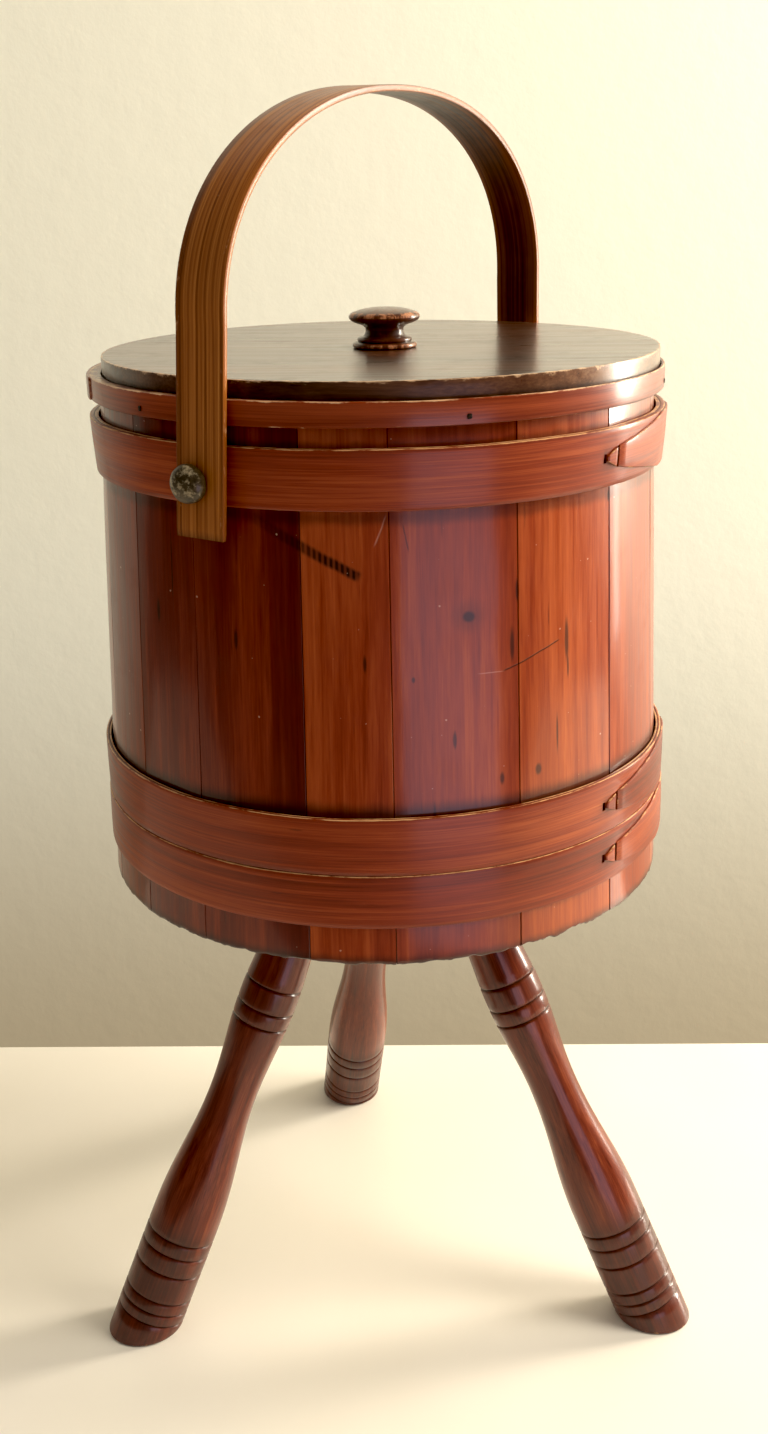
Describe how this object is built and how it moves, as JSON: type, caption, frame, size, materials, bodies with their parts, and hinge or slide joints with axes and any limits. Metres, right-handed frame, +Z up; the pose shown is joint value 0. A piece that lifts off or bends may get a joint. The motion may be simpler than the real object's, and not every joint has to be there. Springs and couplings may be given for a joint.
{
  "type": "lidded stave bucket on legs",
  "caption": "Round tapered stave bucket with a banded lid, turned knob and swinging bentwood bail, hooped with locked wooden hoops and raised on splayed turned legs.",
  "frame": {"origin": "centre of the whole object's footprint box, on the floor under the feet; the bucket's own axis stands 16.3 mm from it along +Y", "axes": "+Z up; X along the common axis of the handle pins, with the pin that faces the viewer at -X"},
  "size_m": [0.3333, 0.349, 0.6865],
  "materials": {
    "stave_wood": "glossy red-brown varnish",
    "hoop_wood": "satin varnish, worn light along the edges",
    "board_wood": "plain dry wood",
    "leg_wood": "glossy dark varnish, worn matt at the foot",
    "handle_wood": "satin, strong straight grain",
    "pin_wood": "dark worn polish",
    "lid_wood": "rubbed dark varnish",
    "knob_wood": "glossy varnish",
    "nail_iron": "dark forged"
  },
  "bodies": {
    "bucket": {"stave_01": "stave_wood", "stave_02": "stave_wood", "stave_03": "stave_wood", "stave_04": "stave_wood", "stave_05": "stave_wood", "stave_06": "stave_wood", "stave_07": "stave_wood", "stave_08": "stave_wood", "stave_09": "stave_wood", "stave_10": "stave_wood", "stave_11": "stave_wood", "stave_12": "stave_wood", "stave_13": "stave_wood", "stave_14": "stave_wood", "stave_15": "stave_wood", "stave_16": "stave_wood", "stave_17": "stave_wood", "bottom_board": "board_wood", "bottom_hoop": "hoop_wood", "middle_hoop": "hoop_wood", "top_hoop": "hoop_wood", "leg_front_left": "leg_wood", "leg_front_right": "leg_wood", "leg_back": "leg_wood", "pin_front": "pin_wood", "pin_rear": "pin_wood"},
    "handle": {"handle": "handle_wood"},
    "lid": {"lid_board": "lid_wood", "lid_band": "hoop_wood", "lid_band_nails": "nail_iron", "knob": "knob_wood"}
  },
  "joints": [
    {"name": "handle_swing", "type": "hinge", "parent": "bucket", "child": "handle", "pos_m": [0, 0.0163, 0.5148], "axis": [1, 0, 0], "range_deg": [-114.2, 110.2]},
    {"name": "lid_lift", "type": "slide", "parent": "bucket", "child": "lid", "axis": [0, 0, 1], "range_m": [0, 0.02]}
  ]
}
